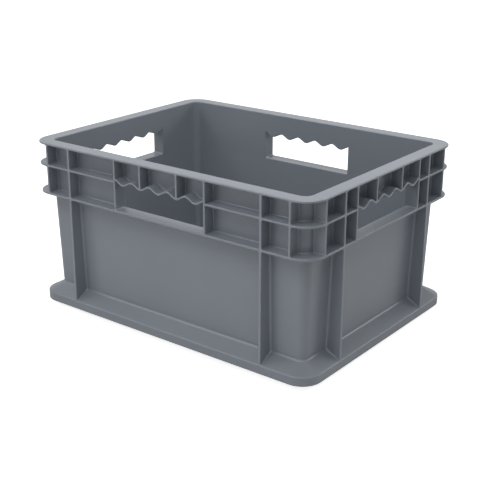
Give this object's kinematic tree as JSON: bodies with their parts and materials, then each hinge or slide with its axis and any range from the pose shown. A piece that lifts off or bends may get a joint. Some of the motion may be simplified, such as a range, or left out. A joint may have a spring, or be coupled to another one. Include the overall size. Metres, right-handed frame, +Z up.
{
  "type": "stacking plastic crate",
  "caption": "Straight-walled stacking crate with a ribbed upper band, a wavy hand hole in each side, a flared base flange and a foot that nests in the rim below.",
  "frame": {"origin": "middle of the underside of the stacking foot, the lowest plane of the crate", "axes": "+X along the crate's length, +Y across its width with the front long side at -Y, +Z up through the open top"},
  "size_m": [0.4, 0.2986, 0.2095],
  "materials": {
    "crate_plastic": "injection-moulded grey polyolefin, fine satin grain"
  },
  "bodies": {
    "root": {"base_flange": "crate_plastic", "corner_ribs_front_left": "crate_plastic", "corner_ribs_front_right": "crate_plastic", "corner_ribs_rear_left": "crate_plastic", "corner_ribs_rear_right": "crate_plastic", "corner_wall_front_left": "crate_plastic", "corner_wall_front_right": "crate_plastic", "corner_wall_rear_left": "crate_plastic", "corner_wall_rear_right": "crate_plastic", "flange_webs": "crate_plastic", "floor_grid": "crate_plastic", "floor_panel": "crate_plastic", "grip_front": "crate_plastic", "grip_left": "crate_plastic", "grip_rear": "crate_plastic", "grip_ribs_front": "crate_plastic", "grip_ribs_left": "crate_plastic", "grip_ribs_rear": "crate_plastic", "grip_ribs_right": "crate_plastic", "grip_right": "crate_plastic", "handle_ribs_front": "crate_plastic", "handle_ribs_left": "crate_plastic", "handle_ribs_rear": "crate_plastic", "handle_ribs_right": "crate_plastic", "lower_ledge": "crate_plastic", "mid_ledge_front_left": "crate_plastic", "mid_ledge_front_right": "crate_plastic", "mid_ledge_rear_left": "crate_plastic", "mid_ledge_rear_right": "crate_plastic", "post_ribs_front": "crate_plastic", "post_ribs_left": "crate_plastic", "post_ribs_rear": "crate_plastic", "post_ribs_right": "crate_plastic", "rim": "crate_plastic", "stacking_foot": "crate_plastic", "wall_front": "crate_plastic", "wall_left": "crate_plastic", "wall_rear": "crate_plastic", "wall_right": "crate_plastic"}
  },
  "joints": []
}
